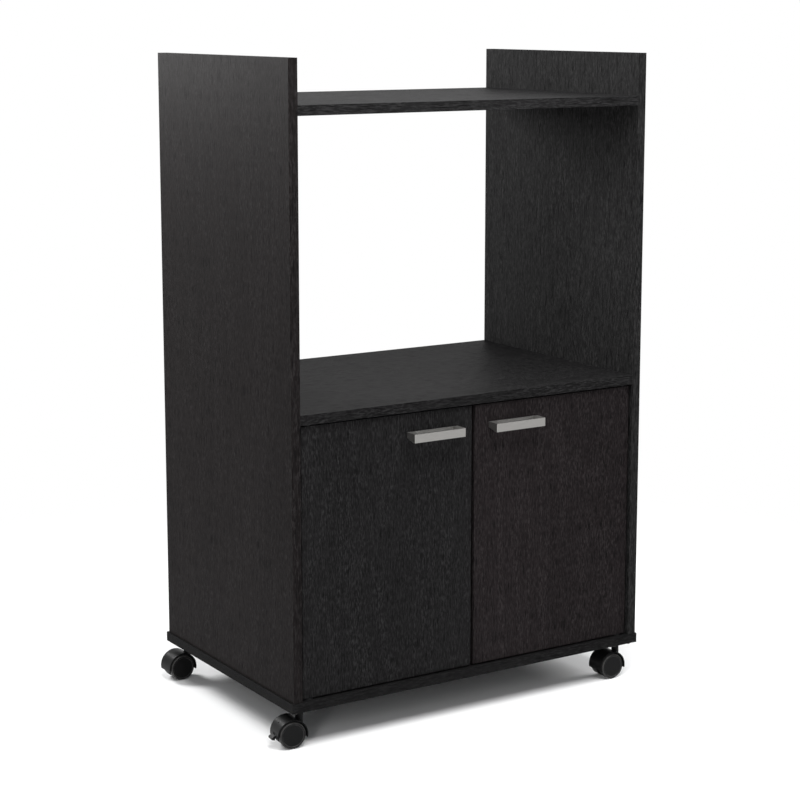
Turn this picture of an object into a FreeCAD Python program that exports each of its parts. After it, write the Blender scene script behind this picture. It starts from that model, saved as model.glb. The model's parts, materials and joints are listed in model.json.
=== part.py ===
"""Kitchen cart: laminated boards on four swivel casters, an open bay over a cabinet with two
inset doors. Millimetres, +Z up, the front faces -Y, and the origin is on the floor under the
middle of the whole cart."""

import FreeCAD, Part
import math
import os
import re
import Sketcher

SIZES = {
    # Cabinet boards
    "cart_width": 600,
    "panel_depth": 389,
    "panel_height": 881,
    "board_thickness": 14,
    "base_side_lip": 2.5,
    "base_front_lip": 1,
    "top_shelf_drop": 62,
    "worktop_height": 403.5,
    # Hardboard back and its nails
    "hardboard_thickness": 3,
    "hardboard_margin": 2,
    "nail_diameter": 1.4,
    "nail_length": 15,
    "nail_head_diameter": 4,
    "nail_head": 0.5,
    "nail_end_margin": 24,
    # Cam fittings and dowels that join the shelves to the side panels
    "cam_diameter": 15,
    "cam_depth": 12,
    "cam_inset": 34,
    "cam_setback": 46,
    "cam_slot_width": 2,
    "cam_slot_depth": 2,
    "bolt_diameter": 5,
    "bolt_grip": 11,
    "bolt_channel": 8,
    "bolt_head_diameter": 7,
    "bolt_head": 3,
    "dowel_diameter": 8,
    "dowel_in_panel": 10,
    "dowel_in_shelf": 20,
    "dowel_spacing": 32,
    # Screws from below the base into the side panels
    "base_screw_diameter": 5,
    "base_screw_in_panel": 35,
    "base_screw_setback": 82,
    "base_screw_head_diameter": 10,
    "base_screw_head": 3,
    # Adjustable shelf and its pegs
    "inner_shelf_end_gap": 1,
    "inner_shelf_setback": 42,
    "inner_shelf_rear_gap": 4,
    "peg_diameter": 5,
    "peg_hole_depth": 9,
    "peg_reach": 9,
    "peg_collar_diameter": 8,
    "peg_collar": 1,
    "peg_row_setback": 80,
    "peg_row_height": 122,
    "peg_pitch": 32,
    # Doors and the pins that they turn on
    "door_thickness": 14,
    "door_recess": 4.5,
    "door_side_gap": 3,
    "door_meeting_gap": 5,
    "door_top_gap": 2.4,
    "door_edge_round": 0.8,
    "pivot_inset": 12,
    "pivot_diameter": 5,
    "pivot_in_door": 14,
    "pivot_in_bush": 8,
    "pivot_clearance": 0.05,
    "bush_diameter": 9,
    "bush_depth": 10,
    "bush_flange_diameter": 13,
    "bush_flange": 1.9,
    "seat_clearance": 0.3,
    # Handles
    "handle_length": 85.5,
    "handle_height": 12.2,
    "handle_projection": 20.8,
    "handle_bar_thickness": 4,
    "handle_leg_width": 9.3,
    "handle_root_height": 8,
    "handle_rail": 2.5,
    "handle_inset": 24.5,
    "handle_drop": 26.5,
    "handle_edge_round": 0.7,
    "handle_screw_diameter": 4,
    "handle_screw_reach": 9,
    "handle_screw_head_diameter": 8,
    "handle_screw_head": 2.4,
    # Double magnetic catch and the plates that it holds
    "catch_width": 46,
    "catch_depth": 13,
    "catch_height": 12,
    "catch_ear_depth": 10,
    "catch_ear_thickness": 2.5,
    "catch_edge_round": 1,
    "pole_width": 14,
    "pole_height": 8,
    "pole_depth": 8,
    "pole_proud": 0.8,
    "pole_spacing": 24,
    "strike_width": 18,
    "strike_height": 12,
    "strike_thickness": 1,
    "strike_drop": 0.6,
    "small_screw_diameter": 3,
    "small_screw_length": 10,
    "small_screw_head_diameter": 6,
    "small_screw_head": 1.6,
    "catch_screw_spacing": 30,
    # Casters
    "caster_height": 54,
    "caster_inset": 23,
    "caster_trail": 15,
    "plate_side": 38,
    "plate_thickness": 1.6,
    "plate_corner_round": 4,
    "plate_hole_spacing": 28,
    "plate_screw_diameter": 3.5,
    "plate_screw_length": 11,
    "plate_screw_head_diameter": 7,
    "plate_screw_head": 2,
    "kingpin_diameter": 6,
    "kingpin_length": 16,
    "column_diameter": 11,
    "hood_wall": 1.6,
    "hood_web": 8,
    "hood_skirt": 4.5,
    "hood_edge_round": 1.2,
    "hood_dimple_diameter": 2.6,
    "hood_dimple_depth": 0.8,
    "axle_diameter": 5,
    "axle_boss_diameter": 11,
    "axle_end_gap": 0.4,
    "wheel_diameter": 38.4,
    "wheel_width": 11.5,
    "wheel_radial_gap": 2,
    "wheel_side_gap": 0.5,
    "wheel_face_thickness": 2.5,
    "wheel_rim_width": 1.4,
    "wheel_rim_proud": 0.6,
    "wheel_tread_thickness": 3,
    "wheel_hub_diameter": 13,
    "wheel_inner_chamfer": 0.6,
    "wheel_outer_chamfer": 1.8,
    # Brake lever of a locking caster
    "lever_thickness": 4,
    "lever_clearance": 0.3,
    "lever_pivot_diameter": 2.4,
    "lever_eye_diameter": 6,
    "lever_tab_gap": 0.6,
    "lever_tab_length": 5,
    "lever_tab_width": 12.8,
    "lever_tab_rise": 0.8,
    "lever_tab_fall": 3.6,
    "lever_tab_thickness": 2.1,
    "lever_tab_root": 7,
}

# Levels and planes, as expressions in the names of the sizes. FRONT is the plane of the boards'
# front edges, and DECK is the top of the base board. The other heights are above DECK, and the
# other depths behind FRONT, but a caster's are from its axle.
DECK = "(caster_height + board_thickness)"
FRONT = "((handle_projection - door_recess - panel_depth - hardboard_thickness - nail_head) / 2)"
INNER_FACE = "(cart_width / 2 - board_thickness)"
SHELF_UNDERSIDE = "(worktop_height - board_thickness)"
WORKTOP_MIDDLE = "(worktop_height - board_thickness / 2)"
TOP_SHELF_UNDERSIDE = "(panel_height - top_shelf_drop - board_thickness)"
TOP_SHELF_MIDDLE = "(panel_height - top_shelf_drop - board_thickness / 2)"
DOOR_BOTTOM_GAP = "(bush_flange + seat_clearance)"
DOOR_WIDTH = f"({INNER_FACE} - door_side_gap - door_meeting_gap / 2)"
DOOR_HEIGHT = f"({SHELF_UNDERSIDE} - {DOOR_BOTTOM_GAP} - door_top_gap)"
PIVOT_X = f"({INNER_FACE} - door_side_gap - pivot_inset)"
PIVOT_Y = "(door_recess + door_thickness / 2)"
CATCH_Y = "(door_recess + door_thickness + strike_thickness + seat_clearance + pole_proud)"
STEM_X = "(cart_width / 2 + base_side_lip - caster_inset)"
STEM_FRONT_Y = "(caster_inset - base_front_lip)"
STEM_REAR_Y = "(panel_depth + hardboard_thickness + nail_head - caster_inset)"
AXLE_HEIGHT = "(wheel_diameter / 2)"
COLUMN_TOP = f"(caster_height - plate_thickness - seat_clearance - {AXLE_HEIGHT})"
WHEEL_IN = "(hood_web / 2 + wheel_side_gap)"
WHEEL_OUT = f"({WHEEL_IN} + wheel_width)"
WHEEL_FLOOR = f"({WHEEL_OUT} - wheel_face_thickness)"
WELL_RADIUS = "(wheel_diameter / 2 + wheel_radial_gap)"
HOOD_RADIUS = f"({WELL_RADIUS} + hood_wall)"
LEVER_PIVOT = "(axle_boss_diameter / 2 + lever_eye_diameter / 2 + 5 * lever_clearance)"
TAB_START = f"({HOOD_RADIUS} + lever_tab_gap)"

# Rows of fittings, behind the boards' front edges
CAM_ROWS = ["cam_setback", "(panel_depth - cam_setback)"]
DOWEL_ROWS = ["(cam_setback + dowel_spacing)", "(panel_depth - cam_setback - dowel_spacing)"]
BASE_SCREW_ROWS = ["base_screw_setback", "(panel_depth / 2)", "(panel_depth - base_screw_setback)"]
PEG_ROWS = ["peg_row_setback", "(panel_depth - peg_row_setback)"]
PEG_HOLES = 5
PEG_STEPS = 2
SIDE_NAILS = 5
WORKTOP_NAILS = 7

# A caster's side of the cart and its stem's place behind the boards' front edges. At a swivel
# angle of 0, seen from above, its wheels trail to the left.
CORNERS = {
    "front_left": (-1, STEM_FRONT_Y),
    "front_right": (1, STEM_FRONT_Y),
    "rear_left": (-1, STEM_REAR_Y),
    "rear_right": (1, STEM_REAR_Y),
}
SWIVEL_DEGREES = {"front_left": -8, "front_right": -2, "rear_left": 0, "rear_right": 172}
BRAKED = ("front_left", "rear_right")
DIMPLE_LEAN_DEGREES = 42

UPRIGHT = FreeCAD.Vector(0, 0, 1)
TOUCHING = 1e-6

doc = FreeCAD.newDocument("kitchen_cart")
sheet = doc.addObject("Spreadsheet::Sheet", "sizes")
for row, (alias, value) in enumerate(SIZES.items(), start=1):
    sheet.set(f"A{row}", alias)
    sheet.set(f"B{row}", str(value))
    sheet.setAlias(f"B{row}", alias)
doc.recompute()

parts = []


def cells(words):
    """An expression in which each size's name points to its cell in the sheet."""
    return re.sub(r"[a-z]\w*", lambda found: "sizes." + found.group(), words)


def minus(place):
    return f"(-1 * {place})"


def node(name, x="0", y="0", z="0", turn=0):
    """An empty body for one sub-part, seated at x, y, z and turned about the vertical."""
    body = doc.addObject("PartDesign::Body", name)
    body.Label = name
    body.Placement = FreeCAD.Placement(FreeCAD.Vector(), FreeCAD.Rotation(UPRIGHT, turn))
    for axis, place in (("x", x), ("y", y), ("z", z)):
        body.setExpression(f"Placement.Base.{axis}", cells(place))
    parts.append(body)
    return body


def origin_plane(body, role):
    return next(item for item in body.Origin.OriginFeatures if item.Role == role)


def sketch(body, role, level="0"):
    """A sketch on one of the body's own origin planes, moved along that plane's normal."""
    drawing = body.newObject("Sketcher::SketchObject", "sketch")
    drawing.AttachmentSupport = [(origin_plane(body, role), "")]
    drawing.MapMode = "FlatFace"
    drawing.setExpression("AttachmentOffset.Base.z", cells(level))
    return drawing


def bind(drawing, constraint, words):
    index = drawing.addConstraint(constraint)
    drawing.setExpression(f"Constraints[{index}]", cells(words))


def tie(drawing, item, end, x, y):
    """Ties one point of a sketch's item to x and y, measured from the sketch's origin."""
    for axis, place, zero_line in (("X", x, -2), ("Y", y, -1)):
        if place == "0":
            drawing.addConstraint(Sketcher.Constraint("PointOnObject", item, end, zero_line))
        else:
            bind(drawing, Sketcher.Constraint(f"Distance{axis}", -1, 1, item, end, 1.0), place)


def circle(drawing, x, y, diameter):
    item = drawing.addGeometry(Part.Circle(FreeCAD.Vector(1, 1, 0), UPRIGHT, 1.0))
    tie(drawing, item, 3, x, y)
    bind(drawing, Sketcher.Constraint("Diameter", item, 1.0), diameter)


def outline(drawing, corners):
    """A closed outline of straight lines through corners. It is drawn as a regular polygon, and
    the sketch's solver takes its points to their places."""
    count = len(corners)
    turn = FreeCAD.Rotation(UPRIGHT, 360 / count)
    spot = FreeCAD.Vector(10, 0, 0)
    items = []
    for _ in corners:
        following = turn.multVec(spot)
        items.append(drawing.addGeometry(Part.LineSegment(spot, following)))
        spot = following
    for index, item in enumerate(items):
        neighbour = items[(index + 1) % count]
        drawing.addConstraint(Sketcher.Constraint("Coincident", item, 2, neighbour, 1))
    for item, (x, y) in zip(items, corners):
        tie(drawing, item, 1, x, y)


def rectangle(drawing, left, bottom, right, top):
    outline(drawing, [(left, bottom), (right, bottom), (right, top), (left, top)])


def profiled(body, kind, drawing):
    """Adds a feature that is made from a sketch, as the body's new tip."""
    made = body.newObject(f"PartDesign::{kind}", kind.lower())
    made.Profile = drawing
    body.Tip = made
    return made


def pad(body, drawing, length, reverse=False, middle=False):
    made = profiled(body, "Pad", drawing)
    made.setExpression("Length", cells(length))
    made.Reversed = reverse
    made.Midplane = middle
    return made


def pocket(body, drawing, length, reverse=False, middle=False):
    """Cuts against the sketch's normal, or along it with reverse."""
    made = profiled(body, "Pocket", drawing)
    made.setExpression("Length", cells(length))
    made.Reversed = reverse
    made.Midplane = middle
    return made


def studs(body, role, level, places, diameter, length, reverse=False):
    """Round bars of one size that grow along the plane's normal from level."""
    drawing = sketch(body, role, level)
    for x, y in places:
        circle(drawing, x, y, diameter)
    return pad(body, drawing, length, reverse)


def bores(body, role, level, places, diameter, depth, reverse=False):
    """Round holes of one size, cut against the plane's normal from level."""
    drawing = sketch(body, role, level)
    for x, y in places:
        circle(drawing, x, y, diameter)
    return pocket(body, drawing, depth, reverse)


def mirror(body, role, originals):
    made = body.newObject("PartDesign::Mirrored", "mirror")
    made.Originals = originals
    made.MirrorPlane = (origin_plane(body, role), [""])
    body.Tip = made


def rounded(body, radius, chosen):
    """Rounds the edges of the body's tip for which chosen is true."""
    doc.recompute()
    base = body.Tip
    names = [f"Edge{index}" for index, edge in enumerate(base.Shape.Edges, start=1) if chosen(edge)]
    made = body.newObject("PartDesign::Fillet", "rounded")
    made.Base = (base, names)
    made.setExpression("Radius", cells(radius))
    body.Tip = made


def is_upright(edge):
    """Whether an edge is a straight vertical line."""
    straight = edge.Curve.TypeId == "Part::GeomLine"
    return straight and abs(edge.tangentAt(edge.FirstParameter).z) > 1 - TOUCHING


def is_round(edge):
    return edge.Curve.TypeId == "Part::GeomCircle"


def lies_at_depth(edge, depth):
    """Whether an edge is in the plane at a depth along the body's own Y."""
    return all(abs(vertex.Y - depth) < TOUCHING for vertex in edge.Vertexes)


def spread(count, low, high):
    """Evenly spaced places from low to high, both included."""
    return [f"({low} + ({high} - {low}) * {step} / {count - 1})" for step in range(count)]


def crossed(rows, levels):
    return [(row, level) for row in rows for level in levels]


def peg_level(step):
    return f"(peg_row_height + {step} * peg_pitch)"


def base_screw_places():
    """The left panel's base screws, at the middle of its thickness."""
    return [("(board_thickness / 2 - cart_width / 2)", row) for row in BASE_SCREW_ROWS]


def nail_heights():
    return spread(SIDE_NAILS, "nail_end_margin", f"({SHELF_UNDERSIDE} - nail_end_margin)")


def nail_columns():
    end = f"({INNER_FACE} - nail_end_margin)"
    return spread(WORKTOP_NAILS, minus(end), end)


def nail_places():
    panel_middle = "(cart_width / 2 - board_thickness / 2)"
    sides = crossed((minus(panel_middle), panel_middle), nail_heights())
    return sides + [(column, WORKTOP_MIDDLE) for column in nail_columns()]


def catch_screw_places():
    behind = f"({CATCH_Y} + catch_depth + catch_ear_depth / 2)"
    return [(f"({side} * catch_screw_spacing / 2)", behind) for side in (-1, 1)]


def pole_faces():
    """Left, bottom, right and top of each pole plate, from the worktop's underside."""
    bottom = "(-1 * catch_height / 2 - pole_height / 2)"
    top = "(pole_height / 2 - catch_height / 2)"
    middles = [f"{side} * pole_spacing / 2" for side in (-1, 1)]
    return [(f"({x} - pole_width / 2)", bottom, f"({x} + pole_width / 2)", top) for x in middles]


def plate_holes(x="0", y="0"):
    """The four screw holes of a caster's plate whose middle is at x, y."""
    reach = "plate_hole_spacing / 2"
    return [(f"({x} + {i} * {reach})", f"({y} + {j} * {reach})") for i in (-1, 1) for j in (-1, 1)]


def left_caster_screws():
    places = []
    for stem_y in (STEM_FRONT_Y, STEM_REAR_Y):
        places += plate_holes(minus(STEM_X), stem_y)
    return places


def side_panel(name, side):
    """A full-height board. Its own X is 0 at its inner face."""
    body = node(name, f"{side} * {INNER_FACE}", FRONT, DECK)
    board = sketch(body, "XY_Plane")
    rectangle(board, "0", "0", f"({side} * board_thickness)", "panel_depth")
    pad(body, board, "panel_height")
    outward = side > 0
    shelves = [WORKTOP_MIDDLE, TOP_SHELF_MIDDLE]
    pegs = [peg_level(step) for step in range(PEG_HOLES)]
    for places, diameter, depth in (
        (crossed(CAM_ROWS, shelves), "bolt_diameter", "bolt_grip"),
        (crossed(DOWEL_ROWS, shelves), "dowel_diameter", "dowel_in_panel"),
        (crossed(PEG_ROWS, pegs), "peg_diameter", "peg_hole_depth"),
    ):
        bores(body, "YZ_Plane", "0", places, diameter, depth, outward)
    middle = f"({side} * board_thickness / 2)"
    screws = [(middle, row) for row in BASE_SCREW_ROWS]
    bores(body, "XY_Plane", "0", screws, "base_screw_diameter", "base_screw_in_panel", True)
    nails = [(middle, height) for height in nail_heights()]
    depth = "(nail_length - hardboard_thickness)"
    bores(body, "XZ_Plane", minus("panel_depth"), nails, "nail_diameter", depth, True)


def shelf_board(name, underside):
    """A board that cam fittings and dowels hold between the side panels."""
    body = node(name, "0", FRONT, f"{DECK} + {underside}")
    board = sketch(body, "XY_Plane")
    rectangle(board, minus(INNER_FACE), "0", INNER_FACE, "panel_depth")
    pad(body, board, "board_thickness")
    end = minus(INNER_FACE)
    middle = ["(board_thickness / 2)"]
    cams = crossed([f"(cam_inset - {INNER_FACE})"], CAM_ROWS)
    bolts = crossed(CAM_ROWS, middle)
    dowel_places = crossed(DOWEL_ROWS, middle)
    mirror(body, "YZ_Plane", [
        bores(body, "XY_Plane", "0", cams, "cam_diameter", "cam_depth", True),
        bores(body, "YZ_Plane", end, bolts, "bolt_channel", "cam_inset", True),
        bores(body, "YZ_Plane", end, dowel_places, "dowel_diameter", "dowel_in_shelf", True),
    ])
    return body


def middle_shelf():
    """The worktop, which also holds the doors' upper bushes, the catch and the back's top edge."""
    body = shelf_board("middle_shelf", SHELF_UNDERSIDE)
    bushes = [(f"({side} * {PIVOT_X})", PIVOT_Y) for side in (-1, 1)]
    bores(body, "XY_Plane", "0", bushes, "bush_diameter", "bush_depth", True)
    screws = catch_screw_places()
    bores(body, "XY_Plane", "0", screws, "small_screw_diameter", "small_screw_length", True)
    nails = crossed(nail_columns(), ["(board_thickness / 2)"])
    depth = "(nail_length - hardboard_thickness)"
    bores(body, "XZ_Plane", minus("panel_depth"), nails, "nail_diameter", depth, True)


def base_board():
    """The lowest board. It stands a little proud of the cabinet, and the casters are under it."""
    body = node("base_board", "0", FRONT, "caster_height")
    board = sketch(body, "XY_Plane")
    side = "(cart_width / 2 + base_side_lip)"
    rear = "(panel_depth + hardboard_thickness + nail_head)"
    rectangle(board, minus(side), minus("base_front_lip"), side, rear)
    pad(body, board, "board_thickness")
    screws = base_screw_places()
    bush = [(minus(PIVOT_X), PIVOT_Y)]
    casters = left_caster_screws()
    mirror(body, "YZ_Plane", [
        bores(body, "XY_Plane", "0", screws, "base_screw_diameter", "board_thickness", True),
        bores(body, "XY_Plane", "0", screws, "base_screw_head_diameter", "base_screw_head", True),
        bores(body, "XY_Plane", "board_thickness", bush, "bush_diameter", "bush_depth"),
        bores(body, "XY_Plane", "0", casters, "plate_screw_diameter", "plate_screw_length", True),
    ])


def back_panel():
    """Thin hardboard behind the cabinet, which stands on the base board's rear lip."""
    body = node("back_panel", "0", f"{FRONT} + panel_depth", DECK)
    face = sketch(body, "XZ_Plane")
    side = "(cart_width / 2 - hardboard_margin)"
    rectangle(face, minus(side), "0", side, "(worktop_height - hardboard_margin)")
    pad(body, face, "hardboard_thickness", True)
    bores(body, "XZ_Plane", "0", nail_places(), "nail_diameter", "hardboard_thickness")


def cabinet_shelf():
    """The adjustable shelf inside the cabinet, resting on its four pegs."""
    body = node("cabinet_shelf", "0", FRONT, f"{DECK} + {peg_level(PEG_STEPS)} + peg_diameter / 2")
    board = sketch(body, "XY_Plane")
    side = f"({INNER_FACE} - inner_shelf_end_gap)"
    rear = "(panel_depth - inner_shelf_rear_gap)"
    rectangle(board, minus(side), "inner_shelf_setback", side, rear)
    pad(body, board, "board_thickness")


def back_nails():
    body = node("back_nails", "0", f"{FRONT} + panel_depth", DECK)
    face = minus("hardboard_thickness")
    studs(body, "XZ_Plane", face, nail_places(), "nail_diameter", "nail_length")
    studs(body, "XZ_Plane", face, nail_places(), "nail_head_diameter", "nail_head", True)


def cam_discs():
    """The eccentric locks under both shelves, each with a hollow for its bolt's head."""
    body = node("cam_discs", "0", FRONT, DECK)
    middle = f"(cam_inset - {INNER_FACE})"
    made = []
    for level in (SHELF_UNDERSIDE, TOP_SHELF_UNDERSIDE):
        places = crossed([middle], CAM_ROWS)
        made.append(studs(body, "XY_Plane", level, places, "cam_diameter", "cam_depth"))
        slots = sketch(body, "XY_Plane", level)
        for row in CAM_ROWS:
            rectangle(
                slots, f"({middle} - cam_diameter / 3)", f"({row} - cam_slot_width / 2)",
                f"({middle} + cam_diameter / 3)", f"({row} + cam_slot_width / 2)",
            )
        made.append(pocket(body, slots, "cam_slot_depth", True))
    hollows = crossed(CAM_ROWS, [WORKTOP_MIDDLE, TOP_SHELF_MIDDLE])
    made.append(bores(body, "YZ_Plane", middle, hollows, "bolt_channel", "cam_diameter"))
    mirror(body, "YZ_Plane", made)


def cam_bolts():
    """Bolts that are screwed into the side panels and reach into the cam discs."""
    body = node("cam_bolts", "0", FRONT, DECK)
    places = crossed(CAM_ROWS, [WORKTOP_MIDDLE, TOP_SHELF_MIDDLE])
    start = f"(-1 * {INNER_FACE} - bolt_grip)"
    head = f"(cam_inset - {INNER_FACE} - bolt_head)"
    shank = "(bolt_grip + cam_inset - bolt_head)"
    mirror(body, "YZ_Plane", [
        studs(body, "YZ_Plane", start, places, "bolt_diameter", shank),
        studs(body, "YZ_Plane", head, places, "bolt_head_diameter", "bolt_head"),
    ])


def dowels():
    body = node("dowels", "0", FRONT, DECK)
    places = crossed(DOWEL_ROWS, [WORKTOP_MIDDLE, TOP_SHELF_MIDDLE])
    start = f"(-1 * {INNER_FACE} - dowel_in_panel)"
    length = "(dowel_in_panel + dowel_in_shelf)"
    mirror(body, "YZ_Plane", [studs(body, "YZ_Plane", start, places, "dowel_diameter", length)])


def base_screws():
    body = node("base_screws", "0", FRONT, "caster_height")
    places = base_screw_places()
    length = "(board_thickness + base_screw_in_panel)"
    mirror(body, "YZ_Plane", [
        studs(body, "XY_Plane", "0", places, "base_screw_diameter", length),
        studs(body, "XY_Plane", "0", places, "base_screw_head_diameter", "base_screw_head"),
    ])


def shelf_pegs():
    """Four pegs in the side panels that carry the adjustable shelf, each with a flat-topped
    collar against the panel."""
    body = node("shelf_pegs", "0", FRONT, DECK)
    level = peg_level(PEG_STEPS)
    start = f"(-1 * {INNER_FACE} - peg_hole_depth)"
    length = "(peg_hole_depth + peg_reach)"
    places = crossed(PEG_ROWS, [level])
    pegs = studs(body, "YZ_Plane", start, places, "peg_diameter", length)
    collars = sketch(body, "YZ_Plane", minus(INNER_FACE))
    half = "peg_collar_diameter / 2"
    for row in PEG_ROWS:
        rectangle(
            collars, f"({row} - {half})", f"({level} - {half})",
            f"({row} + {half})", f"({level} + peg_diameter / 2)",
        )
    mirror(body, "YZ_Plane", [pegs, pad(body, collars, "peg_collar")])


def pivot_bushes():
    """Flanged plastic bushes in the base and the worktop, which the doors' pins turn in."""
    body = node("pivot_bushes", "0", FRONT, DECK)
    place = [(minus(PIVOT_X), PIVOT_Y)]
    hole = "(pivot_diameter + 2 * pivot_clearance)"
    hole_depth = "(bush_flange + pivot_in_bush + seat_clearance)"
    upper_mouth = f"({SHELF_UNDERSIDE} - bush_flange)"
    mirror(body, "YZ_Plane", [
        studs(body, "XY_Plane", minus("bush_depth"), place, "bush_diameter", "bush_depth"),
        studs(body, "XY_Plane", "0", place, "bush_flange_diameter", "bush_flange"),
        bores(body, "XY_Plane", "bush_flange", place, hole, hole_depth),
        studs(body, "XY_Plane", SHELF_UNDERSIDE, place, "bush_diameter", "bush_depth"),
        studs(body, "XY_Plane", upper_mouth, place, "bush_flange_diameter", "bush_flange"),
        bores(body, "XY_Plane", upper_mouth, place, hole, hole_depth, True),
    ])


def catch_body():
    """The catch's plastic housing under the worktop, with a mounting ear behind it."""
    body = node("catch_body", "0", FRONT, f"{DECK} + {SHELF_UNDERSIDE}")
    half = "(catch_width / 2)"
    block = sketch(body, "XY_Plane")
    rectangle(block, minus(half), CATCH_Y, half, f"({CATCH_Y} + catch_depth)")
    pad(body, block, "catch_height", True)
    rounded(body, "catch_edge_round", is_upright)
    ear = sketch(body, "XY_Plane")
    rectangle(
        ear, f"(catch_edge_round - {half})", f"({CATCH_Y} + catch_depth / 2)",
        f"({half} - catch_edge_round)", f"({CATCH_Y} + catch_depth + catch_ear_depth)",
    )
    pad(body, ear, "catch_ear_thickness", True)
    bores(body, "XY_Plane", "0", catch_screw_places(), "small_screw_diameter", "catch_ear_thickness")
    slots = sketch(body, "XZ_Plane", minus(CATCH_Y))
    for left, bottom, right, top in pole_faces():
        rectangle(slots, left, bottom, right, top)
    pocket(body, slots, "pole_depth")


def catch_pole_plates():
    """The magnets' steel poles, one for each door, a little proud of the housing."""
    body = node("catch_pole_plates", "0", FRONT, f"{DECK} + {SHELF_UNDERSIDE}")
    faces = sketch(body, "XZ_Plane", f"(pole_proud - {CATCH_Y})")
    for left, bottom, right, top in pole_faces():
        rectangle(faces, left, bottom, right, top)
    pad(body, faces, "(pole_depth + pole_proud)", True)


def catch_screws():
    body = node("catch_screws", "0", FRONT, f"{DECK} + {SHELF_UNDERSIDE} - catch_ear_thickness")
    places = catch_screw_places()
    length = "(catch_ear_thickness + small_screw_length)"
    studs(body, "XY_Plane", "0", places, "small_screw_diameter", length)
    studs(body, "XY_Plane", "0", places, "small_screw_head_diameter", "small_screw_head", True)


def caster_screws():
    """Four pan-head screws for each caster's plate."""
    body = node("caster_screws", "0", FRONT, "caster_height - plate_thickness")
    places = left_caster_screws()
    length = "(plate_thickness + plate_screw_length)"
    head = "plate_screw_head"
    mirror(body, "YZ_Plane", [
        studs(body, "XY_Plane", "0", places, "plate_screw_diameter", length),
        studs(body, "XY_Plane", "0", places, "plate_screw_head_diameter", head, True),
    ])


def door_node(name, side):
    """A body that moves with a door, with its origin at the door's hinge edge, front face and
    bottom edge."""
    return node(
        name, f"{side} * ({INNER_FACE} - door_side_gap)", f"{FRONT} + door_recess",
        f"{DECK} + {DOOR_BOTTOM_GAP}",
    )


def across(side, distance):
    """The place at a distance from a door's hinge edge, towards the cart's middle."""
    return f"({-side} * {distance})"


def handle_screw_places(side):
    level = f"({DOOR_HEIGHT} - handle_drop - handle_root_height / 2)"
    ends = ("handle_leg_width / 2", "(handle_length - handle_leg_width / 2)")
    return [(across(side, f"({DOOR_WIDTH} - handle_inset - {end})"), level) for end in ends]


def strike_middle(side):
    """The middle of a door's strike plate, opposite its pole of the catch."""
    x = across(side, f"({INNER_FACE} - door_side_gap - pole_spacing / 2)")
    return x, f"({DOOR_HEIGHT} - strike_drop - strike_height / 2)"


def door(name, side):
    body = door_node(name, side)
    board = sketch(body, "XZ_Plane")
    rectangle(board, "0", "0", across(side, DOOR_WIDTH), DOOR_HEIGHT)
    pad(body, board, "door_thickness", True)
    rounded(body, "door_edge_round", lambda edge: lies_at_depth(edge, 0))
    pivot = [(across(side, "pivot_inset"), "(door_thickness / 2)")]
    bores(body, "XY_Plane", "0", pivot, "pivot_diameter", "pivot_in_door", True)
    bores(body, "XY_Plane", DOOR_HEIGHT, pivot, "pivot_diameter", "pivot_in_door")
    screws = handle_screw_places(side)
    bores(body, "XZ_Plane", "0", screws, "handle_screw_diameter", "door_thickness")
    back = minus("door_thickness")
    depth = "(small_screw_length - strike_thickness)"
    bores(body, "XZ_Plane", back, [strike_middle(side)], "small_screw_diameter", depth, True)


def pivot_pins(name, side):
    """The steel pins in a door's bottom and top edges."""
    body = door_node(name, side)
    place = [(across(side, "pivot_inset"), "(door_thickness / 2)")]
    below = f"({DOOR_BOTTOM_GAP} - bush_flange + pivot_in_bush)"
    above = "(door_top_gap - bush_flange + pivot_in_bush)"
    upper = f"({DOOR_HEIGHT} - pivot_in_door)"
    studs(body, "XY_Plane", minus(below), place, "pivot_diameter", f"({below} + pivot_in_door)")
    studs(body, "XY_Plane", upper, place, "pivot_diameter", f"({above} + pivot_in_door)")


def handle(name, side):
    """A cast pull: a flat bar on two tapered end legs, joined by a thin rail on the door."""
    body = door_node(name, side)
    top = f"({DOOR_HEIGHT} - handle_drop)"
    bar_back = "(handle_bar_thickness - handle_projection)"
    far_end = across(side, f"({DOOR_WIDTH} - handle_inset - handle_length)")
    section = sketch(body, "YZ_Plane", far_end)
    outline(section, [
        ("0", top),
        (minus("handle_projection"), top),
        (minus("handle_projection"), f"({top} - handle_height)"),
        (bar_back, f"({top} - handle_height)"),
        ("0", f"({top} - handle_root_height)"),
    ])
    pad(body, section, "handle_length", side > 0)
    front = -SIZES["handle_projection"]
    rounded(body, "handle_edge_round", lambda edge: is_upright(edge) and lies_at_depth(edge, front))
    finger_gap = sketch(body, "XY_Plane", top)
    near = across(side, f"({DOOR_WIDTH} - handle_inset - handle_leg_width)")
    far = across(side, f"({DOOR_WIDTH} - handle_inset - handle_length + handle_leg_width)")
    rectangle(finger_gap, near, bar_back, far, minus("handle_rail"))
    pocket(body, finger_gap, "handle_height")
    screws = handle_screw_places(side)
    bores(body, "XZ_Plane", "0", screws, "handle_screw_diameter", "handle_screw_reach", True)


def handle_screws(name, side):
    """Two machine screws through the door into the handle's legs."""
    body = door_node(name, side)
    places = handle_screw_places(side)
    back = minus("door_thickness")
    length = "(door_thickness + handle_screw_reach)"
    studs(body, "XZ_Plane", back, places, "handle_screw_diameter", length)
    studs(body, "XZ_Plane", back, places, "handle_screw_head_diameter", "handle_screw_head", True)


def strike_plate(name, side):
    """The thin steel plate on a door's back that the catch pulls on."""
    body = door_node(name, side)
    back = minus("door_thickness")
    x, height = strike_middle(side)
    face = sketch(body, "XZ_Plane", back)
    rectangle(
        face, f"({x} - strike_width / 2)", f"({height} - strike_height / 2)",
        f"({x} + strike_width / 2)", f"({height} + strike_height / 2)",
    )
    pad(body, face, "strike_thickness", True)
    bores(body, "XZ_Plane", back, [(x, height)], "small_screw_diameter", "strike_thickness")


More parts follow.
